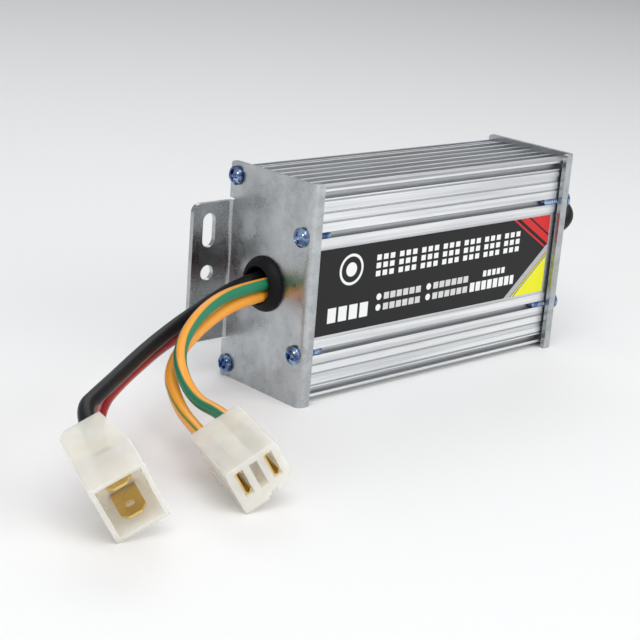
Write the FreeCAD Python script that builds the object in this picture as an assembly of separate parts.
"""Electronic speed controller for a small brushed DC motor, in millimetres.

A ribbed aluminium case stands on its narrow side between two bent steel end plates. Each plate
carries a mounting ear in the plane of the case's back. Four power leads leave the plate at -X and
end in two blade connectors, and a thin control lead leaves the plate at +X.
X runs along the case, -Y is the label side, +Y the mounting side, Z is up.
The origin is the middle of the case's footprint, on the surface that the plates stand on.
"""
import FreeCAD, Part
import math
import os

V = FreeCAD.Vector

PAST = 1.0                  # how far a cutter runs past the face it opens on
NEAR = 0.1                  # tolerance when an edge is picked by where it lies

# ---- case: driving dimensions -------------------------------------------------------------
CASE_LENGTH = 110.8         # over the two end plates
CASE_HEIGHT = 64.0          # of the end plates
CASE_DEPTH = 35.6           # front lip to the back of the ears
SHEET = 1.5                 # end plate thickness
PLATE_OVERHANG = 1.5        # plate past the extrusion, above and below
FRONT_GAP = 0.1             # extrusion's front face behind the inside of the lip's bend
BACK_SETBACK = 1.0          # extrusion's back face in front of the ears' back face

# ---- end plates ---------------------------------------------------------------------------
LIP_LENGTH = 4.1
LIP_BEND = 0.4              # inside radius
LIP_CORNER = 1.0
EAR_LENGTH = 13.5
EAR_HEIGHT = 41.0
EAR_BEND = 1.0              # inside radius
EAR_CORNER = 2.5
EAR_RELIEF = 0.8            # notch between an ear's bend and the plate's free back edge
EAR_HOLE = 4.5              # for M4
EAR_HOLE_INSET = 5.7        # hole row to the ear's free edge
EAR_SLOT_LENGTH = 10.0      # overall
EAR_SLOT_PITCH = 25.0
PLATE_CORNER = 1.0

# ---- extrusion ----------------------------------------------------------------------------
FRONT_WALL = 2.0
BACK_WALL = 2.0
SIDE_WALL = 1.8             # under the fins, top and bottom
FIN_DEPTH = 1.9
FIN_WIDTH = 1.0
FIN_PITCH = 4.2
FIRST_FIN_GAP = 2.4         # first groove, beside the corner bar
LAST_FIN_GAP = 0.5          # narrowest groove left beside the back bar
CORNER_BAR = 3.5            # plain bar between the front face and the first fin groove
BACK_BAR = 3.9              # the same at the back, holding the screw channel
CORNER_CHAMFER = 0.6
LABEL_RECESS_DEPTH = 0.3
LABEL_RECESS_HEIGHT = 27.0
PANEL_GROOVE_WIDTH = 0.6
PANEL_GROOVE_DEPTH = 0.5
PANEL_GROOVES = (11.4, 8.7, 5.3)        # groove centres in from the plates' top and bottom
PANEL_STEP = (8.4, 7.1)                 # shallow step of the panel, in from the same edges
PANEL_STEP_DEPTH = 0.25
CHANNEL_MOUTH = 1.9
FRONT_CHANNEL_DROP = 1.3                # screw channel axis behind the front face
FRONT_CHANNEL_OFFSET = 16.9             # from the middle height
CORNER_CHANNEL_INSET = 3.7              # empty channels at the front corners
BACK_CHANNEL_INSET = 3.9
BACK_CHANNEL_DROP = 2.2                 # axis in front of the back face
CHANNEL_WALL = 1.2

# ---- screws that hold the end plates --------------------------------------------------------
SCREW_SHANK = 2.8
SCREW_HEAD = 5.5
SCREW_HEAD_HEIGHT = 2.0
SCREW_LENGTH = 10.0
SCREW_CLEARANCE = 0.2       # hole radius over the shank radius in the plates
CROSS_WIDTH = 0.8
CROSS_SPAN = 3.0
CROSS_DEPTH = 1.1
CROWN_SHARE = 0.45          # domed part of the head's height
CROWN_SHOULDER = (0.25, 0.72)   # dome's middle point: share of its rise, share of the radius
CHANNEL_FIT = 0.03          # channel radius over the shank radius
CHANNEL_RADIUS = SCREW_SHANK / 2 + CHANNEL_FIT

# ---- grommets -----------------------------------------------------------------------------
GROMMET_NECK = 12.8
GROMMET_LIP = 1.6           # outer flange past the plate's hole
GROMMET_RISE = 3.0          # domed flange outside
GROMMET_INNER = 2.0         # flange inside
GROMMET_INNER_LIP = 0.8     # inner flange past the plate's hole
GROMMET_ROLL = 0.5          # rounding of the bore's outer edge
GROMMET_RIM = 0.7           # straight edge of the outer flange
GROMMET_BULGE = 0.35        # dome over a straight cone, halfway
LEAD_BORE = 10.4
CONTROL_BORE = 5.0

# ---- label --------------------------------------------------------------------------------
LABEL_THICK = 0.2
LABEL_HEIGHT = 25.1
LABEL_GAP = 3.8             # end of the extrusion to the label's near end
LABEL_END_GAP = 4.6         # the same at its far end

# ---- circuit board and what stands on it ----------------------------------------------------
BOARD_THICK = 1.6
BOARD_END_GAP = 3.9         # end of the extrusion to the board's end
BOARD_FRONT = 25.9          # board's component face behind the extrusion's front face
SLOT_CLEARANCE = 0.2
LEDGE = 1.4                 # rail height beside the board's edges
LEDGE_THICK = 0.9
HEAT_RAIL_RISE = 3.5
HEAT_RAIL_FROM = 4.8        # behind the extrusion's front face
HEAT_RAIL_DEPTH = 18.0
PAD_THICK = 0.3
POWER_PITCH = 15.0
POWER_START = -30.0
TRANSISTORS = 4
DIODES = 2
TAB_THICK = 1.3
DEVICE_WIDTH = 10.2
DEVICE_THICK = 4.5
DEVICE_BODY = 9.2
DEVICE_TAB = 6.4
DEVICE_TAB_HOLE = 3.6
DEVICE_LEGS = 4.0
LEG_WIDTH = 0.8
LEG_THICK = 0.5
LEG_PITCH = 2.54
CLAMP_WIDTH = 6.0
CLAMP_THICK = 3.0
CLAMP_SHANK = 2.9
CLAMP_REACH = 3.0           # screw tip into the heat rail
TAP_PAST = 0.2              # threaded hole past the screw's tip
CAPACITOR_DIAMETER = 13.0
CAPACITOR_LENGTH = 20.0
CRIMP_FROM = 2.0            # crimped groove, from the can's foot
CRIMP_WIDTH = 1.2
CRIMP_DEPTH = 0.5
CAPACITOR_PLACES = ((-22.0, 14.0), (-6.0, 14.0))    # X, and height over the middle
SHUNT_WIRE = 1.5
SHUNT_SPAN = 12.0
SHUNT_RISE = 6.0
SHUNT_PLACE = (-22.0, -2.0)
CHIP_SIZE = (19.3, 3.4, 6.4)
CHIP_PLACE = (20.0, 6.0)
CHIP_PINS = 7
REGULATOR_PLACE = (8.0, -2.0)
REGULATOR_DIAMETER = 4.8
REGULATOR_HEIGHT = 4.8
REGULATOR_FLAT = 0.6        # flat face, share of the radius
RESISTOR_PLACES = ((12.0, 15.0), (20.0, 15.0), (28.0, 15.0), (34.0, 2.0))
RESISTOR_DIAMETER = 2.4
RESISTOR_LENGTH = 6.5
RESISTOR_WIRE = 0.6
RESISTOR_REACH = 1.2        # bent legs past the body's ends
CERAMIC_PLACES = ((6.0, 8.0), (34.0, 10.0), (0.0, 2.0))
CERAMIC_DIAMETER = 5.0
CERAMIC_THICK = 2.2
LEAD_STANDOFF = 1.2         # legs of a small part between its body and the board
POST_THICK = 1.5
POST_WIDTH = 3.4
HEADER_SETBACK = 9.4        # where the control lead meets its header, in from the plate's face
HEADER_SIZE = (4.0, 8.0)    # along X, along Z

# ---- leads ----------------------------------------------------------------------------------
MOTOR_LEAD = 3.5
POSITIVE_LEAD = 3.5
NEGATIVE_LEAD = 4.0
CONTROL_LEAD = 4.0
CORNER_SHARE = 0.45         # of the shorter run that an arc takes

# Each connector lies on the surface: front centre of its mouth with X from its plate's outer face,
# then heading, nose-down pitch and roll.
POWER_LIE = ((-90.0, -63.4, 10.9), -12.9, 16.8, 29.6)
MOTOR_LIE = ((-54.0, -64.9, 9.45), -16.6, 2.6, 30.7)
CONTROL_LIE = ((-94.4, 51.0, 3.0), -86.0, 0.0, 0.0)

# ---- power connector: housing for two blades -------------------------------------------------
POWER_WIDTH = 13.6
POWER_HEIGHT = 18.9
POWER_LENGTH = 20.5
POWER_TAPER_FROM = 8.0      # the right side starts to draw in, behind the mouth's plane
POWER_REAR_RIGHT = 3.9      # right side at the wire end, from the housing's axis
POWER_REAR_CHAMFER = 1.8    # at the left corner of the wire end
POWER_WALL = 1.2
POWER_EDGE = 0.6            # rounding of its long edges
POWER_MOUTH_DEPTH = 9.5
BLADE_WIDTH = 6.3
BLADE_THICK = 0.8
BLADE_TIP = 1.2             # behind the mouth's plane
BLADE_CHAMFER = 1.5
BLADE_HOLE = (1.7, 2.4)     # width and length of the oval
BLADE_HOLE_SETBACK = 3.4    # oval's centre behind the tip
BLADE_OFFSET = 5.1          # from the housing's axis
BARREL_LENGTH = 4.0
BARREL_END = 16.0           # where a lead meets its terminal, behind the mouth's plane
POWER_LAST_RUN = 12.0       # straight last run of its leads

# ---- motor connector: housing with two sprung receptacles ------------------------------------
MOTOR_WIDTH = 14.3
MOTOR_HEIGHT = 12.1
MOTOR_LENGTH = 22.5
MOTOR_KEEL = 0.7            # the left half is this much deeper
SLOT_WIDTH = 2.2
SLOT_HEIGHT = 7.2
SLOT_RISE = 0.9             # slot centre above the housing's axis
SLOT_PITCH = 4.0
MIDDLE_SLOT_DEPTH = 5.0
RECEPTACLE_START = 0.8
RECEPTACLE_BLADE = 9.0
RECEPTACLE_SHEET = 0.4
RECEPTACLE_ROLL = 0.95      # radius of the rolled edges
MOTOR_BARREL_END = 17.0
MOTOR_LAST_RUN = 12.0
SIDE_GROOVE_DEPTH = 0.9
SIDE_GROOVE_WIDTH = 2.4
SIDE_GROOVE_INSET = 4.0     # from either end
MOTOR_EDGE = 0.8            # rounding of its long edges
KEEL_EDGE = 0.4             # keel's inner side, left of the housing's axis
KEY_NOTCH = (0.6, 2.4, 0.9) # from, to and depth of the notch under the right half
RECEPTACLE_NECK = (2.0, 3.0)    # length and height between the rolls and the barrel
RECEPTACLE_OPENING = 0.1    # gap from a roll's axis to its mouth
WIRE_CLEARANCE = 0.2

# ---- control connector -----------------------------------------------------------------------
CONTROL_WIDTH = 9.5
CONTROL_HEIGHT = 6.0
CONTROL_LENGTH = 13.0
CONTROL_SOCKET = (7.3, 4.3, 6.0)
CONTROL_PINS = 3
CONTROL_PIN_PITCH = 2.5
CONTROL_PIN = 0.64
CONTROL_LEAD_IN = 3.0
CONTROL_LAST_RUN = 14.0
CONTROL_EDGE = 0.5
CONTROL_FIT = 0.02          # lead hole's radius over the lead's
CONTROL_PIN_START = 1.0     # pin tips behind the mouth's plane

# ---- lead routes: corner points, chosen by hand, X from the outer face of the lead's own plate ------
# Exit points have their height over the grommet's axis, run points over the surface.
POWER_POSITIVE_EXIT = ((8.9, 2.1, -1.7), (-4.6, 2.1, -1.7))
POWER_POSITIVE_RUN = ((-22.8, 3.6, 21.4), (-36.8, -1.6, 19.8), (-49.2, -9.0, 19.0),
                      (-60.2, -15.9, 18.2), (-70.2, -22.8, 17.0))
POWER_NEGATIVE_EXIT = ((8.9, 1.3, 2.0), (-5.1, 1.3, 2.0))
POWER_NEGATIVE_RUN = ((-25.4, 1.1, 26.0), (-38.5, -4.1, 23.6), (-51.2, -11.8, 22.8),
                      (-63.8, -21.0, 22.8), (-76.0, -30.8, 23.8))
MOTOR_POSITIVE_EXIT = ((13.9, -2.4, 1.1), (-5.6, -2.4, 1.1), (-26.1, -7.2, 0.1))
MOTOR_POSITIVE_RUN = ((-41.1, -13.5, 23.0), (-43.6, -24.5, 13.8))
MOTOR_NEGATIVE_EXIT = ((13.9, -1.5, -2.4), (-5.1, -1.5, -2.4), (-24.1, -6.2, -4.5))
MOTOR_NEGATIVE_RUN = ((-41.1, -10.5, 18.0), (-46.1, -22.5, 11.3))
CONTROL_EXIT = ((-9.4, 0.0, 0.0), (13.6, 0.0, 0.0), (27.0, 0.5, 5.0), (32.4, 16.0, 9.5))
CONTROL_RUN = ((28.4, 37.0, 27.0), (14.6, 51.0, 8.0), (-8.4, 55.0, 2.2), (-30.4, 50.0, 2.2),
               (-52.4, 53.0, 2.4))

# ---- derived places --------------------------------------------------------------------------
HALF_LENGTH = CASE_LENGTH / 2
HALF_DEPTH = CASE_DEPTH / 2
MID_HEIGHT = CASE_HEIGHT / 2
GROMMET_HEIGHT = MID_HEIGHT
INNER_END = HALF_LENGTH - SHEET             # the plates' inner faces, the extrusion's ends
CORNER_CHANNEL_OFFSET = MID_HEIGHT - CORNER_CHANNEL_INSET
BACK_CHANNEL_OFFSET = MID_HEIGHT - BACK_CHANNEL_INSET
LABEL_LENGTH = 2 * INNER_END - LABEL_GAP - LABEL_END_GAP
HEADER_FACE = HALF_LENGTH - HEADER_SETBACK
FRONT = -HALF_DEPTH + SHEET + LIP_BEND + FRONT_GAP
BACK = HALF_DEPTH - BACK_SETBACK
BASE = PLATE_OVERHANG
TOP = CASE_HEIGHT - PLATE_OVERHANG
FLOOR = BASE + FIN_DEPTH + SIDE_WALL        # inside of the lower wall
CEILING = TOP - FIN_DEPTH - SIDE_WALL
BOARD_FACE = FRONT + BOARD_FRONT
BOARD_BACK = BOARD_FACE + BOARD_THICK
BOARD_TOP = CEILING - SLOT_CLEARANCE
RAIL_TOP = FLOOR + HEAT_RAIL_RISE
DEVICE_BASE = RAIL_TOP + PAD_THICK
DEVICE_BACK = BOARD_FACE - DEVICE_LEGS
CLAMP_BASE = DEVICE_BASE + DEVICE_THICK
CLAMP_FRONT = DEVICE_BACK - DEVICE_BODY / 2 - CLAMP_WIDTH / 2
DEVICE_COUNT = TRANSISTORS + DIODES
CLAMP_PLACES = [POWER_START + POWER_PITCH * (2 * k + 0.5) for k in range(DEVICE_COUNT // 2)]
CLAMP_START = POWER_START - DEVICE_WIDTH / 2
CLAMP_END = POWER_START + (DEVICE_COUNT - 1) * POWER_PITCH + DEVICE_WIDTH / 2


# ---- small helpers ---------------------------------------------------------------------------
def box(x0, x1, y0, y1, z0, z1):
    """Box between two corners."""
    return Part.makeBox(x1 - x0, y1 - y0, z1 - z0, V(x0, y0, z0))


def rod(radius, start, end):
    """Cylinder between two points."""
    axis = V(*end) - V(*start)
    return Part.makeCylinder(radius, axis.Length, V(*start), axis)


def prism(points, axis):
    """Extrude a closed polygon along a vector."""
    corners = [V(*p) for p in points]
    return Part.Face(Part.makePolygon(corners + corners[:1])).extrude(V(*axis))


def joined(shapes):
    """One clean solid from overlapping or touching shapes."""
    whole = shapes[0].fuse(list(shapes[1:])).removeSplitter()
    return whole.Solids[0] if len(whole.Solids) == 1 else whole


def less(shape, cutters):
    """The shape with each cutter removed."""
    whole = shape.cut(list(cutters))
    return whole.Solids[0] if len(whole.Solids) == 1 else whole


def group(shapes):
    """Separate solids under one node."""
    return Part.makeCompound(list(shapes))


def mirrored_end(shape):
    """The same piece at the other end of the case."""
    return shape.mirror(V(0, 0, 0), V(1, 0, 0))


def posed(shape, pose):
    """Take a piece from a connector's own frame, mouth at y = 0 facing -Y, to where it lies."""
    front, heading, pitch, roll = pose
    turned = shape.copy()
    turned.rotate(V(0, 0, 0), V(0, 1, 0), -roll)
    turned.rotate(V(0, 0, 0), V(1, 0, 0), pitch)
    turned.rotate(V(0, 0, 0), V(0, 0, 1), heading)
    turned.translate(V(*front))
    return turned


def posed_point(point, pose):
    """The same move for one point."""
    vertex = posed(Part.Vertex(V(*point)), pose)
    return vertex.Point


def beside(side, lie):
    """A connector's pose from how it lies beside the plate at one end (-1 or 1)."""
    (x, y, z), heading, pitch, roll = lie
    return ((side * HALF_LENGTH + x, y, z), heading, pitch, roll)


def routed(side, exits, run):
    """A lead's corner points in the case's frame."""
    face = side * HALF_LENGTH
    near = [(face + x, y, GROMMET_HEIGHT + z) for x, y, z in exits]
    return near + [(face + x, y, z) for x, y, z in run]


def on_board(place):
    """X and height of a part on the board."""
    x, over_middle = place
    return x, MID_HEIGHT + over_middle


POWER_POSE = beside(-1, POWER_LIE)
MOTOR_POSE = beside(-1, MOTOR_LIE)
CONTROL_POSE = beside(1, CONTROL_LIE)
POWER_POSITIVE_ROUTE = routed(-1, POWER_POSITIVE_EXIT, POWER_POSITIVE_RUN)
POWER_NEGATIVE_ROUTE = routed(-1, POWER_NEGATIVE_EXIT, POWER_NEGATIVE_RUN)
MOTOR_POSITIVE_ROUTE = routed(-1, MOTOR_POSITIVE_EXIT, MOTOR_POSITIVE_RUN)
MOTOR_NEGATIVE_ROUTE = routed(-1, MOTOR_NEGATIVE_EXIT, MOTOR_NEGATIVE_RUN)
CONTROL_ROUTE = routed(1, CONTROL_EXIT, CONTROL_RUN)


# ---- case -------------------------------------------------------------------------------------
def both_sides(offset):
    """The two heights that lie a distance above and below the case's middle."""
    return (MID_HEIGHT - offset, MID_HEIGHT + offset)


def screw_places():
    """Y and Z of the four plate screws."""
    front = [(FRONT + FRONT_CHANNEL_DROP, z) for z in both_sides(FRONT_CHANNEL_OFFSET)]
    back = [(BACK - BACK_CHANNEL_DROP, z) for z in both_sides(BACK_CHANNEL_OFFSET)]
    return front + back


def full_length(y0, y1, z0, z1):
    """Bar that runs the extrusion's whole length."""
    return box(-INNER_END, INNER_END, y0, y1, z0, z1)


def channel(y, z, mouth_to):
    """Open round channel, its mouth cut through to the point (y, z) of the face it opens on."""
    half = CHANNEL_MOUTH / 2
    y_to, z_to = mouth_to
    bore = rod(CHANNEL_RADIUS, (-INNER_END, y, z), (INNER_END, y, z))
    if z_to == z:
        mouth = full_length(min(y, y_to), max(y, y_to), z - half, z + half)
    else:
        mouth = full_length(y - half, y + half, min(z, z_to), max(z, z_to))
    return [bore, mouth]


def case_extrusion():
    """Ribbed aluminium tube, one section along its whole length."""
    c = CORNER_CHAMFER
    x = -INNER_END
    outline = [(x, FRONT + c, BASE), (x, BACK - c, BASE), (x, BACK, BASE + c), (x, BACK, TOP - c),
               (x, BACK - c, TOP), (x, FRONT + c, TOP), (x, FRONT, TOP - c), (x, FRONT, BASE + c)]
    body = prism(outline, (2 * INNER_END, 0, 0))
    cavity = full_length(FRONT + FRONT_WALL, BACK - BACK_WALL, FLOOR, CEILING)
    return less(joined([less(body, [cavity])] + inner_rails()), outer_grooves())


def inner_rails():
    """Thick corners, screw channel walls, board ledges and the heat rail inside the tube."""
    reach = CHANNEL_RADIUS + CHANNEL_WALL
    channel_back = FRONT + FRONT_CHANNEL_DROP + reach
    rails = []
    for z in both_sides(FRONT_CHANNEL_OFFSET):
        rails.append(full_length(FRONT + FRONT_WALL, channel_back, z - reach, z + reach))
    for side, wall in ((1, CEILING), (-1, FLOOR)):
        front_z = MID_HEIGHT + side * (CORNER_CHANNEL_OFFSET - reach)
        back_z = MID_HEIGHT + side * (BACK_CHANNEL_OFFSET - reach)
        ledge_z = wall - side * LEDGE
        ledge_back = BOARD_FACE - SLOT_CLEARANCE
        stop = BOARD_BACK + SLOT_CLEARANCE
        rails.append(full_length(FRONT + FRONT_WALL, channel_back, *sorted((front_z, wall))))
        rails.append(full_length(stop, BACK - BACK_WALL, *sorted((back_z, wall))))
        rails.append(full_length(ledge_back - LEDGE_THICK, ledge_back, *sorted((ledge_z, wall))))
    heat_front = FRONT + HEAT_RAIL_FROM
    rails.append(full_length(heat_front, heat_front + HEAT_RAIL_DEPTH, FLOOR, RAIL_TOP))
    return rails


def outer_grooves():
    """Everything cut into the outside of the tube."""
    cuts = [full_length(FRONT, FRONT + LABEL_RECESS_DEPTH, *both_sides(LABEL_RECESS_HEIGHT / 2))]
    for y, z in screw_places()[:2]:
        cuts += channel(y, z, (FRONT, z))
    for z in both_sides(CORNER_CHANNEL_OFFSET):
        cuts += channel(FRONT + FRONT_CHANNEL_DROP, z, (FRONT, z))
    for y, z in screw_places()[2:]:
        cuts += channel(y, z, (y, TOP if z > MID_HEIGHT else BASE))
    half = PANEL_GROOVE_WIDTH / 2
    for inset in PANEL_GROOVES:
        for z in both_sides(MID_HEIGHT - inset):
            cuts.append(full_length(FRONT, FRONT + PANEL_GROOVE_DEPTH, z - half, z + half))
    for side in (1, -1):
        step = sorted(MID_HEIGHT + side * (MID_HEIGHT - inset) for inset in PANEL_STEP)
        cuts.append(full_length(FRONT, FRONT + PANEL_STEP_DEPTH, *step))
    return cuts + fin_grooves()


def fin_grooves():
    """Gaps between the fins of the top and the bottom."""
    first_fin = FRONT + CORNER_BAR + FIRST_FIN_GAP
    span = BACK - BACK_BAR - first_fin - FIN_WIDTH - LAST_FIN_GAP
    fins = [first_fin + k * FIN_PITCH for k in range(int(span / FIN_PITCH) + 1)]
    starts = [FRONT + CORNER_BAR] + [fin + FIN_WIDTH for fin in fins]
    ends = fins + [BACK - BACK_BAR]
    cuts = []
    for start, end in zip(starts, ends):
        cuts.append(full_length(start, end, BASE, BASE + FIN_DEPTH))
        cuts.append(full_length(start, end, TOP - FIN_DEPTH, TOP))
    return cuts


def bend(centre_x, centre_y, inside, x_side, y_side, z0, z1):
    """Quarter of a bent sheet: a ring sector on the side of the centre that the signs name."""
    height = z1 - z0
    ring = Part.makeCylinder(inside + SHEET, height, V(centre_x, centre_y, z0))
    ring = ring.cut(Part.makeCylinder(inside, height, V(centre_x, centre_y, z0)))
    reach = inside + SHEET
    x0, x1 = sorted((centre_x, centre_x + x_side * reach))
    y0, y1 = sorted((centre_y, centre_y + y_side * reach))
    return ring.common(box(x0, x1, y0, y1, z0, z1))


def rounded(shape, direction, radius, keep):
    """Fillet the edges along a direction whose middle the test accepts."""
    edges = []
    for edge in shape.Edges:
        if not isinstance(edge.Curve, (Part.Line, Part.LineSegment)):
            continue
        along = edge.tangentAt(edge.FirstParameter)
        if abs(abs(along.dot(V(*direction))) - 1) < 1e-6 and keep(edge.CenterOfMass):
            edges.append(edge)
    return shape.makeFillet(radius, edges)


def end_plate(bore):
    """Steel plate at -X: main face, lip folded over the front, ear folded out at the back."""
    outer = -HALF_LENGTH
    inner = outer + SHEET
    z_low, z_high = both_sides(EAR_HEIGHT / 2)
    lip_y = -HALF_DEPTH + LIP_BEND + SHEET
    ear_y = HALF_DEPTH - EAR_BEND - SHEET
    ear_x = outer - EAR_BEND
    free_edge = HALF_DEPTH - BACK_SETBACK / 2
    lip = box(inner + LIP_BEND, outer + LIP_LENGTH, -HALF_DEPTH, -HALF_DEPTH + SHEET, 0, CASE_HEIGHT)
    lip = rounded(lip, (0, 1, 0), LIP_CORNER, lambda m: m.x > inner + LIP_BEND + NEAR)
    main = box(outer, inner, lip_y, free_edge, 0, CASE_HEIGHT)
    main = rounded(main, (1, 0, 0), PLATE_CORNER, lambda m: m.y > 0)
    clear = box(outer, inner, ear_y, HALF_DEPTH, z_low - EAR_RELIEF, z_high + EAR_RELIEF)
    ear = box(outer - EAR_LENGTH, ear_x, HALF_DEPTH - SHEET, HALF_DEPTH, z_low, z_high)
    ear = rounded(ear, (0, 1, 0), EAR_CORNER, lambda m: m.x < ear_x - NEAR)
    plate = joined([
        lip,
        bend(inner + LIP_BEND, lip_y, LIP_BEND, -1, -1, 0, CASE_HEIGHT),
        less(main, [clear]),
        bend(ear_x, ear_y, EAR_BEND, 1, 1, z_low, z_high),
        ear])
    return less(plate, plate_holes(bore))


def plate_holes(bore):
    """Screw holes, the grommet's hole, and the ear's hole and slots."""
    x0, x1 = -HALF_LENGTH - PAST, -INNER_END + PAST
    radius = SCREW_SHANK / 2 + SCREW_CLEARANCE
    cuts = [rod(radius, (x0, y, z), (x1, y, z)) for y, z in screw_places()]
    cuts.append(rod(bore / 2, (x0, 0, GROMMET_HEIGHT), (x1, 0, GROMMET_HEIGHT)))
    hole_x = -HALF_LENGTH - EAR_LENGTH + EAR_HOLE_INSET
    y0, y1 = HALF_DEPTH - SHEET - PAST, HALF_DEPTH + PAST
    r = EAR_HOLE / 2
    straight = EAR_SLOT_LENGTH / 2 - r
    cuts.append(rod(r, (hole_x, y0, MID_HEIGHT), (hole_x, y1, MID_HEIGHT)))
    for z in both_sides(EAR_SLOT_PITCH / 2):
        cuts.append(box(hole_x - r, hole_x + r, y0, y1, z - straight, z + straight))
        cuts.append(rod(r, (hole_x, y0, z - straight), (hole_x, y1, z - straight)))
        cuts.append(rod(r, (hole_x, y0, z + straight), (hole_x, y1, z + straight)))
    return cuts


def outline_wire(points):
    """Closed wire in the plane y over x from (x, y) points; a triple of points is an arc."""
    edges = []
    for run in points:
        corners = [V(x, y, 0) for x, y in run]
        curve = Part.LineSegment(*corners) if len(corners) == 2 else Part.Arc(*corners)
        edges.append(curve.toShape())
    return Part.Wire(edges)


def turned(wire):
    """Solid of revolution about the X axis, facing outwards."""
    body = Part.Face(wire).revolve(V(0, 0, 0), V(1, 0, 0), 360)
    return body if body.Volume > 0 else body.reversed()


def pan_screw(shank, head, head_height, length):
    """Cross-recess pan-head screw, head's underside at the origin, tip along +X."""
    radius, stem = head / 2, shank / 2
    crown = head_height * CROWN_SHARE
    top = -head_height
    rise, spread = CROWN_SHOULDER
    body = turned(outline_wire([
        [(length, 0), (length - stem, stem)],
        [(length - stem, stem), (0, stem)],
        [(0, stem), (0, radius)],
        [(0, radius), (top + crown, radius)],
        [(top + crown, radius), (top + crown * rise, radius * spread), (top, 0)],
        [(top, 0), (length, 0)]]))
    half_span = CROSS_SPAN / 2
    half = CROSS_WIDTH / 2
    start, floor = top - PAST, top + CROSS_DEPTH
    bars = [box(start, floor, -half_span, half_span, -half, half),
            box(start, floor, -half, half, -half_span, half_span)]
    return less(body, [joined(bars)])


def end_screws():
    """The four screws of the plate at -X."""
    screws = []
    for y, z in screw_places():
        screw = pan_screw(SCREW_SHANK, SCREW_HEAD, SCREW_HEAD_HEIGHT, SCREW_LENGTH)
        screw.rotate(V(0, 0, 0), V(1, 0, 0), 45)
        screw.translate(V(-HALF_LENGTH, y, z))
        screws.append(screw)
    return group(screws)


def grommet(bore):
    """Rubber grommet in the plate at -X: domed flange outside, flat flange inside."""
    outer, inner = -HALF_LENGTH, -INNER_END
    tip, end = outer - GROMMET_RISE, inner + GROMMET_INNER
    neck, hole = GROMMET_NECK / 2, bore / 2
    flange, step = neck + GROMMET_LIP, neck + GROMMET_INNER_LIP
    roll = GROMMET_ROLL
    crest = hole + roll
    eighth = roll * math.cos(math.pi / 4)
    rim = outer - GROMMET_RIM
    dome = ((tip + rim) / 2 - GROMMET_BULGE, (crest + flange) / 2 + GROMMET_BULGE)
    ring = turned(outline_wire([
        [(end, hole), (tip + roll, hole)],
        [(tip + roll, hole), (tip + roll - eighth, crest - eighth), (tip, crest)],
        [(tip, crest), dome, (rim, flange)],
        [(rim, flange), (outer, flange)],
        [(outer, flange), (outer, neck)],
        [(outer, neck), (inner, neck)],
        [(inner, neck), (inner, step)],
        [(inner, step), (end, step)],
        [(end, step), (end, hole)]]))
    ring.translate(V(0, 0, GROMMET_HEIGHT))
    return ring


def rating_label():
    """Printed sticker in the recess of the front face."""
    x0 = -HALF_LENGTH + SHEET + LABEL_GAP
    seat = FRONT + LABEL_RECESS_DEPTH
    z0, z1 = both_sides(LABEL_HEIGHT / 2)
    return box(x0, x0 + LABEL_LENGTH, seat - LABEL_THICK, seat, z0, z1)


# ---- inside -----------------------------------------------------------------------------------
def circuit_board():
    """Board that slides in the ledges and stands on the lower wall."""
    half = INNER_END - BOARD_END_GAP
    return box(-half, half, BOARD_FACE, BOARD_BACK, FLOOR, BOARD_TOP)


def power_device(x):
    """Transistor or diode package, metal tab down on the insulating strip, legs to the board."""
    half = DEVICE_WIDTH / 2
    base = DEVICE_BASE
    front = DEVICE_BACK - DEVICE_BODY
    middle = base + DEVICE_THICK / 2
    tab = box(x - half, x + half, front - DEVICE_TAB, front, base, base + TAB_THICK)
    hole_y = front - DEVICE_TAB / 2
    hole = rod(DEVICE_TAB_HOLE / 2, (x, hole_y, base - PAST), (x, hole_y, base + TAB_THICK + PAST))
    tab = less(tab, [hole])
    body = box(x - half, x + half, front, DEVICE_BACK, base, base + DEVICE_THICK)
    legs = []
    for k in (-1, 0, 1):
        leg_x = x + k * LEG_PITCH
        legs.append(box(leg_x - LEG_WIDTH / 2, leg_x + LEG_WIDTH / 2, DEVICE_BACK, BOARD_FACE,
                        middle, middle + LEG_THICK))
    return joined([tab, body] + legs)


def device_places():
    """X of every power package, transistors first."""
    return [POWER_START + k * POWER_PITCH for k in range(DEVICE_COUNT)]


def insulating_strip():
    """Thermal pad between the heat rail and the packages, pierced for the clamp screws."""
    heat_front = FRONT + HEAT_RAIL_FROM
    strip = box(CLAMP_START, CLAMP_END, heat_front, heat_front + HEAT_RAIL_DEPTH, RAIL_TOP, DEVICE_BASE)
    return less(strip, clamp_holes(CLAMP_SHANK / 2 + SCREW_CLEARANCE, RAIL_TOP - PAST, DEVICE_BASE + PAST))


def clamp_holes(radius, z0, z1):
    """Round cutters at the clamp screws."""
    y = CLAMP_FRONT + CLAMP_WIDTH / 2
    return [rod(radius, (x, y, z0), (x, y, z1)) for x in CLAMP_PLACES]


def clamp_bar():
    """Aluminium bar that presses the packages on the heat rail."""
    bar = box(CLAMP_START, CLAMP_END, CLAMP_FRONT, CLAMP_FRONT + CLAMP_WIDTH,
              CLAMP_BASE, CLAMP_BASE + CLAMP_THICK)
    radius = CLAMP_SHANK / 2 + SCREW_CLEARANCE
    return less(bar, clamp_holes(radius, CLAMP_BASE - PAST, CLAMP_BASE + CLAMP_THICK + PAST))


def clamp_screws():
    """Screws through the clamp bar into the heat rail."""
    y = CLAMP_FRONT + CLAMP_WIDTH / 2
    seat = CLAMP_BASE + CLAMP_THICK
    screws = []
    for x in CLAMP_PLACES:
        screw = pan_screw(CLAMP_SHANK, SCREW_HEAD, SCREW_HEAD_HEIGHT, seat - RAIL_TOP + CLAMP_REACH)
        screw.rotate(V(0, 0, 0), V(0, 1, 0), 90)
        screw.translate(V(x, y, seat))
        screws.append(screw)
    return group(screws)


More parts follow.
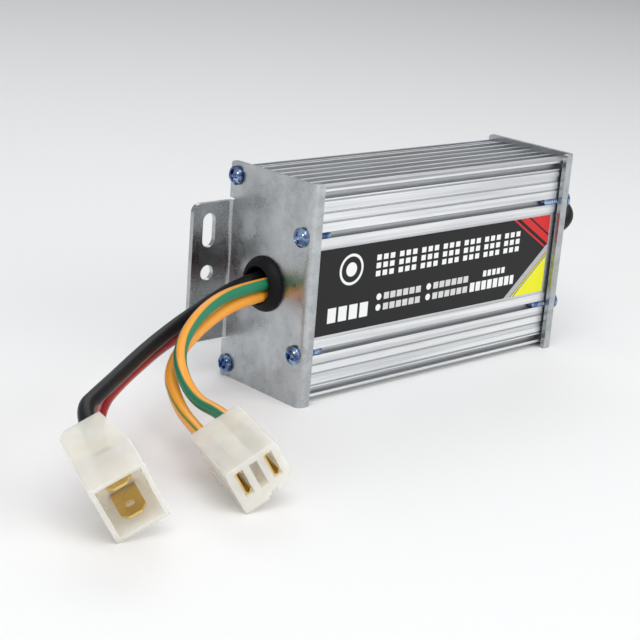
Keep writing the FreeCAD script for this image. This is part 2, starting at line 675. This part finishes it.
def tapped(extrusion):
    """The extrusion with the clamp screws' threaded holes in its heat rail."""
    radius = CLAMP_SHANK / 2 + CHANNEL_FIT
    return less(extrusion, clamp_holes(radius, RAIL_TOP - CLAMP_REACH - TAP_PAST, RAIL_TOP + PAST))


def filter_capacitors():
    """Electrolytic cans standing on the board, with the crimped groove near the foot."""
    cans = []
    for x, z in map(on_board, CAPACITOR_PLACES):
        foot = BOARD_FACE
        can = rod(CAPACITOR_DIAMETER / 2, (x, foot, z), (x, foot - CAPACITOR_LENGTH, z))
        crimp = (x, foot - CRIMP_FROM, z), (x, foot - CRIMP_FROM - CRIMP_WIDTH, z)
        ring = rod(CAPACITOR_DIAMETER / 2 + PAST, *crimp)
        ring = ring.cut(rod(CAPACITOR_DIAMETER / 2 - CRIMP_DEPTH, *crimp))
        cans.append(less(can, [ring]))
    return group(cans)


def current_shunt():
    """Staple of thick resistance wire on the board."""
    x, z = on_board(SHUNT_PLACE)
    r = SHUNT_WIRE / 2
    y = BOARD_FACE - SHUNT_RISE
    ends = (x - SHUNT_SPAN / 2, x + SHUNT_SPAN / 2)
    legs = [rod(r, (end, BOARD_FACE, z), (end, y, z)) for end in ends]
    bridge = rod(r, (ends[0], y, z), (ends[1], y, z))
    knees = [Part.makeSphere(r, V(end, y, z)) for end in ends]
    return joined(legs + [bridge] + knees)


def control_chip():
    """Pulse-width controller chip with its rows of legs."""
    x, z = on_board(CHIP_PLACE)
    length, thick, width = CHIP_SIZE
    y = BOARD_FACE - LEAD_STANDOFF
    body = box(x - length / 2, x + length / 2, y - thick, y, z - width / 2, z + width / 2)
    pieces = [body]
    for k in range(CHIP_PINS):
        leg_x = x + (k - (CHIP_PINS - 1) / 2) * LEG_PITCH
        for side in (-1, 1):
            z_leg = z + side * (width / 2 + LEG_THICK / 2)
            pieces.append(box(leg_x - LEG_THICK / 2, leg_x + LEG_THICK / 2, y - thick / 2, BOARD_FACE,
                              z_leg - LEG_THICK / 2, z_leg + LEG_THICK / 2))
    return joined(pieces)


def voltage_regulator():
    """Small three-legged regulator with a flat face."""
    x, z = on_board(REGULATOR_PLACE)
    r = REGULATOR_DIAMETER / 2
    y = BOARD_FACE - LEAD_STANDOFF
    body = rod(r, (x, y, z), (x, y - REGULATOR_HEIGHT, z))
    body = less(body, [box(x - r, x + r, y - REGULATOR_HEIGHT, y, z + r * REGULATOR_FLAT, z + r)])
    half = LEG_THICK / 2
    legs = []
    for k in (-1, 0, 1):
        leg_x = x + k * LEG_PITCH / 2
        legs.append(box(leg_x - half, leg_x + half, y, BOARD_FACE, z - half, z + half))
    return joined([body] + legs)


def board_resistors():
    """Axial resistors lying over the board on bent legs."""
    parts = []
    for x, z in map(on_board, RESISTOR_PLACES):
        y = BOARD_FACE - LEAD_STANDOFF - RESISTOR_DIAMETER / 2
        half = RESISTOR_LENGTH / 2
        reach = half + RESISTOR_REACH
        wire = RESISTOR_WIRE / 2
        body = rod(RESISTOR_DIAMETER / 2, (x, y, z - half), (x, y, z + half))
        straight = rod(wire, (x, y, z - reach), (x, y, z + reach))
        feet = [rod(wire, (x, y, z + s * reach), (x, BOARD_FACE, z + s * reach)) for s in (-1, 1)]
        knees = [Part.makeSphere(wire, V(x, y, z + s * reach)) for s in (-1, 1)]
        parts.append(joined([body, straight] + feet + knees))
    return group(parts)


def board_ceramic_capacitors():
    """Disc capacitors standing on two legs."""
    parts = []
    for x, z in map(on_board, CERAMIC_PLACES):
        r = CERAMIC_DIAMETER / 2
        half = CERAMIC_THICK / 2
        centre = BOARD_FACE - LEAD_STANDOFF - r
        disc = rod(r, (x, centre, z - half), (x, centre, z + half))
        legs = [rod(RESISTOR_WIRE / 2, (leg_x, centre, z), (leg_x, BOARD_FACE, z))
                for leg_x in (x - r / 2, x + r / 2)]
        parts.append(joined([disc] + legs))
    return group(parts)


def lead_terminals():
    """Solder posts on the board, one at the inner end of each power lead."""
    posts = []
    for route in (POWER_POSITIVE_ROUTE, POWER_NEGATIVE_ROUTE, MOTOR_POSITIVE_ROUTE, MOTOR_NEGATIVE_ROUTE):
        x, y, z = route[0]
        half = POST_WIDTH / 2
        posts.append(box(x, x + POST_THICK, y - half, BOARD_FACE, z - half, z + half))
    return group(posts)


def control_header():
    """Pin block on the board where the control lead is soldered."""
    depth, height = HEADER_SIZE
    return box(HEADER_FACE - depth, HEADER_FACE, -CONTROL_LEAD / 2, BOARD_FACE,
               GROMMET_HEIGHT - height / 2, GROMMET_HEIGHT + height / 2)


# ---- leads ------------------------------------------------------------------------------------
def lead(name, diameter, route):
    """Tube along straight runs joined by tangent arcs; prints its radii and checks its volume."""
    points = [V(*p) for p in route]
    edges = []
    radii = []
    start = points[0]
    for before, corner, after in zip(points, points[1:], points[2:]):
        to_corner = corner - before
        onward = after - corner
        half_turn = to_corner.getAngle(onward) / 2
        tangent = CORNER_SHARE * min(to_corner.Length, onward.Length)
        radius = tangent / math.tan(half_turn)
        entry = corner - to_corner.normalize() * tangent
        leave = corner + onward.normalize() * tangent
        inward = (onward - to_corner).normalize()
        middle = corner + inward * (radius / math.cos(half_turn) - radius)
        edges.append(Part.LineSegment(start, entry).toShape())
        edges.append(Part.Arc(entry, middle, leave).toShape())
        radii.append(round(radius, 1))
        start = leave
    edges.append(Part.LineSegment(start, points[-1]).toShape())
    path = Part.Wire(edges)
    section = Part.Wire(Part.Circle(points[0], points[1] - points[0], diameter / 2).toShape())
    tube = path.makePipeShell([section], True, False)
    expected = math.pi * diameter ** 2 / 4 * path.Length
    print(f"{name}: length {path.Length:.1f}, radii {radii}, volume {tube.Volume:.0f} of {expected:.0f}")
    return tube.Solids[0]


def lead_to(name, diameter, route, terminal, pose, last_run):
    """Lead whose last run goes straight into a connector, to a terminal's end."""
    end = posed_point(terminal, pose)
    x, y, z = terminal
    before = posed_point((x, y + last_run, z), pose)
    return lead(name, diameter, list(route) + [tuple(before), tuple(end)])


def leads():
    """The five leads, each to its own terminal."""
    power_end = (BARREL_END, POWER_POSE, POWER_LAST_RUN)
    motor_end = (MOTOR_BARREL_END, MOTOR_POSE, MOTOR_LAST_RUN)
    control_end = (CONTROL_LENGTH - CONTROL_LEAD_IN, CONTROL_POSE, CONTROL_LAST_RUN)
    table = {
        "power_positive_lead": (POSITIVE_LEAD, POWER_POSITIVE_ROUTE, 0, -BLADE_OFFSET, power_end),
        "power_negative_lead": (NEGATIVE_LEAD, POWER_NEGATIVE_ROUTE, 0, BLADE_OFFSET, power_end),
        "motor_positive_lead": (MOTOR_LEAD, MOTOR_POSITIVE_ROUTE, SLOT_PITCH, SLOT_RISE, motor_end),
        "motor_negative_lead": (MOTOR_LEAD, MOTOR_NEGATIVE_ROUTE, -SLOT_PITCH, SLOT_RISE, motor_end),
        "control_lead": (CONTROL_LEAD, CONTROL_ROUTE, 0, 0, control_end)}
    made = {}
    for name, (diameter, route, x, z, (depth, pose, last_run)) in table.items():
        made[name] = lead_to(name, diameter, route, (x, depth, z), pose, last_run)
    return made


# ---- power connector: own frame, mouth at y = 0 facing -Y, x right, z up -------------------------
def power_connector_housing():
    """Nylon shell around the two blades, its right side drawn in towards the wire end."""
    w, h, length = POWER_WIDTH / 2, POWER_HEIGHT / 2, POWER_LENGTH
    c = POWER_REAR_CHAMFER
    outline = [(-w, 0, -h), (w, 0, -h), (w, POWER_TAPER_FROM, -h), (POWER_REAR_RIGHT, length, -h),
               (-w + c, length, -h), (-w, length - c, -h)]
    shell = prism(outline, (0, 0, 2 * h))
    shell = rounded(shell, (0, 1, 0), POWER_EDGE, lambda m: m.x < 0 or m.y < POWER_TAPER_FROM)
    t = POWER_WALL
    root = BARREL_END - BARREL_LENGTH
    cuts = [box(-w + t, w - t, -PAST, POWER_MOUTH_DEPTH, -h + t, h - t)]
    for z, lead_size in ((BLADE_OFFSET, NEGATIVE_LEAD), (-BLADE_OFFSET, POSITIVE_LEAD)):
        half = BLADE_WIDTH / 2
        thick = BLADE_THICK / 2
        radius = lead_size / 2 + WIRE_CLEARANCE
        cuts.append(rod(radius, (0, root, z), (0, length + PAST, z)))
        cuts.append(box(-half, half, POWER_MOUTH_DEPTH - PAST, root, z - thick, z + thick))
    return less(shell, cuts)


def blade_terminal(z, barrel_radius):
    """Flat blade with a chamfered tip and an oval hole, and the crimped barrel behind it."""
    half = BLADE_WIDTH / 2
    thick = BLADE_THICK / 2
    c = BLADE_CHAMFER
    tip = BLADE_TIP
    root = BARREL_END - BARREL_LENGTH
    outline = [(-half, root, z - thick), (-half, tip + c, z - thick), (-half + c, tip, z - thick),
               (half - c, tip, z - thick), (half, tip + c, z - thick), (half, root, z - thick)]
    blade = prism(outline, (0, 0, 2 * thick))
    width, length = BLADE_HOLE
    y = tip + BLADE_HOLE_SETBACK
    straight = (length - width) / 2
    z0, z1 = z - PAST, z + PAST
    oval = [rod(width / 2, (-straight, y, z0), (-straight, y, z1)),
            rod(width / 2, (straight, y, z0), (straight, y, z1)),
            box(-straight, straight, y - width / 2, y + width / 2, z0, z1)]
    barrel = rod(barrel_radius, (0, root, z), (0, BARREL_END, z))
    return joined([less(blade, oval), barrel])


def power_connector_tabs():
    """The two brass blades, one above the other."""
    return group([posed(blade_terminal(BLADE_OFFSET, NEGATIVE_LEAD / 2), POWER_POSE),
                  posed(blade_terminal(-BLADE_OFFSET, POSITIVE_LEAD / 2), POWER_POSE)])


# ---- motor connector ----------------------------------------------------------------------------
def motor_connector_housing():
    """Nylon block with three upright slots, a deeper left half and a groove in its side."""
    w, h = MOTOR_WIDTH / 2, MOTOR_HEIGHT / 2
    block = box(-w, w, 0, MOTOR_LENGTH, -h, h)
    block = rounded(block, (0, 1, 0), MOTOR_EDGE, lambda m: m.z > 0 or m.x > 0)
    keel = box(-w, -KEEL_EDGE, 0, MOTOR_LENGTH, -h - MOTOR_KEEL, -h)
    inset = SIDE_GROOVE_INSET
    key_from, key_to, key_depth = KEY_NOTCH
    cuts = [box(-w, -w + SIDE_GROOVE_DEPTH, inset, MOTOR_LENGTH - inset, -SIDE_GROOVE_WIDTH, 0),
            box(key_from, key_to, -PAST, MOTOR_LENGTH / 2, -h - PAST, -h + key_depth)]
    half_w = SLOT_WIDTH / 2
    low, high = SLOT_RISE - SLOT_HEIGHT / 2, SLOT_RISE + SLOT_HEIGHT / 2
    cuts.append(box(-half_w, half_w, -PAST, MIDDLE_SLOT_DEPTH, low, high))
    for x in (-SLOT_PITCH, SLOT_PITCH):
        r = MOTOR_LEAD / 2 + WIRE_CLEARANCE
        root = MOTOR_BARREL_END - BARREL_LENGTH
        cuts.append(box(x - half_w, x + half_w, -PAST, root, low, high))
        cuts.append(rod(r, (x, root, SLOT_RISE), (x, MOTOR_LENGTH + PAST, SLOT_RISE)))
    return less(joined([block, keel]), cuts)


def receptacle(x):
    """Sprung receptacle: upright strip with both edges rolled over, and its crimped barrel."""
    half = BLADE_WIDTH / 2
    start = RECEPTACLE_START
    end = start + RECEPTACLE_BLADE
    root = MOTOR_BARREL_END - BARREL_LENGTH
    strip = box(x - RECEPTACLE_ROLL, x - RECEPTACLE_ROLL + RECEPTACLE_SHEET, start, root,
                SLOT_RISE - half, SLOT_RISE + half)
    rolls = []
    for side in (-1, 1):
        z = SLOT_RISE + side * (half - RECEPTACLE_ROLL + RECEPTACLE_SHEET)
        outer = rod(RECEPTACLE_ROLL, (x, start, z), (x, end, z))
        inner = rod(RECEPTACLE_ROLL - RECEPTACLE_SHEET, (x, start, z), (x, end, z))
        open_side = sorted((z - side * 2 * RECEPTACLE_ROLL, z - side * RECEPTACLE_OPENING))
        inner_face = x - RECEPTACLE_ROLL + RECEPTACLE_SHEET
        mouth = box(inner_face, x + 2 * RECEPTACLE_ROLL, start, end, *open_side)
        rolls.append(less(outer, [inner, mouth]))
    length, height = RECEPTACLE_NECK
    neck = box(x - RECEPTACLE_ROLL, x + RECEPTACLE_ROLL, root - length, root,
               SLOT_RISE - height / 2, SLOT_RISE + height / 2)
    barrel = rod(MOTOR_LEAD / 2, (x, root, SLOT_RISE), (x, MOTOR_BARREL_END, SLOT_RISE))
    return joined([strip] + rolls + [neck, barrel])


def motor_connector_receptacles():
    """Two receptacles in the outer slots; the middle slot stays empty."""
    return group([posed(receptacle(x), MOTOR_POSE) for x in (-SLOT_PITCH, SLOT_PITCH)])


# ---- control connector ----------------------------------------------------------------------------
def control_connector_housing():
    """Small three-way plug shell."""
    w, h = CONTROL_WIDTH / 2, CONTROL_HEIGHT / 2
    sw, sh, depth = CONTROL_SOCKET
    shell = rounded(box(-w, w, 0, CONTROL_LENGTH, -h, h), (0, 1, 0), CONTROL_EDGE, lambda m: True)
    socket = box(-sw / 2, sw / 2, -PAST, depth, -sh / 2, sh / 2)
    entry = rod(CONTROL_LEAD / 2 + CONTROL_FIT,
                (0, CONTROL_LENGTH - CONTROL_LEAD_IN, 0), (0, CONTROL_LENGTH + PAST, 0))
    half = CONTROL_PIN / 2
    pins = [box(x - half, x + half, 0, CONTROL_LENGTH - CONTROL_LEAD_IN, -half, half)
            for x in control_pin_places()]
    return less(shell, [socket, entry] + pins)


def control_pin_places():
    """X of the pins in the plug's own frame."""
    return [(k - (CONTROL_PINS - 1) / 2) * CONTROL_PIN_PITCH for k in range(CONTROL_PINS)]


def control_connector_pins():
    """Square pins from the lead's end into the socket."""
    half = CONTROL_PIN / 2
    pins = [box(x - half, x + half, CONTROL_PIN_START, CONTROL_LENGTH - CONTROL_LEAD_IN, -half, half)
            for x in control_pin_places()]
    return group([posed(pin, CONTROL_POSE) for pin in pins])


# ---- the whole ------------------------------------------------------------------------------------
def build():
    """Every node of the controller."""
    places = device_places()
    nodes = {
        "case_extrusion": tapped(case_extrusion()),
        "lead_end_plate": end_plate(GROMMET_NECK),
        "control_end_plate": mirrored_end(end_plate(GROMMET_NECK)),
        "lead_end_screws": end_screws(),
        "control_end_screws": mirrored_end(end_screws()),
        "lead_grommet": grommet(LEAD_BORE),
        "control_grommet": mirrored_end(grommet(CONTROL_BORE)),
        "rating_label": rating_label(),
        "circuit_board": circuit_board(),
        "power_transistors": group([power_device(x) for x in places[:TRANSISTORS]]),
        "freewheel_diodes": group([power_device(x) for x in places[TRANSISTORS:]]),
        "insulating_strip": insulating_strip(),
        "clamp_bar": clamp_bar(),
        "clamp_screws": clamp_screws(),
        "filter_capacitors": filter_capacitors(),
        "current_shunt": current_shunt(),
        "control_chip": control_chip(),
        "voltage_regulator": voltage_regulator(),
        "board_resistors": board_resistors(),
        "board_ceramic_capacitors": board_ceramic_capacitors(),
        "lead_terminals": lead_terminals(),
        "control_header": control_header(),
        **leads(),
        "power_connector_housing": posed(power_connector_housing(), POWER_POSE),
        "power_connector_tabs": power_connector_tabs(),
        "motor_connector_housing": posed(motor_connector_housing(), MOTOR_POSE),
        "motor_connector_receptacles": motor_connector_receptacles(),
        "control_connector_housing": posed(control_connector_housing(), CONTROL_POSE),
        "control_connector_pins": control_connector_pins(),
    }
    return nodes


def main():
    """Write one STEP file per node."""
    os.makedirs("parts", exist_ok=True)
    for name, shape in build().items():
        assert shape.isValid(), name
        assert all(solid.isClosed() and solid.Volume > 0 for solid in shape.Solids), name
        shape.exportStep(f"parts/{name}.step")
        print(f"{name}: {len(shape.Solids)} solid(s), {shape.Volume:.1f} mm3")


main()
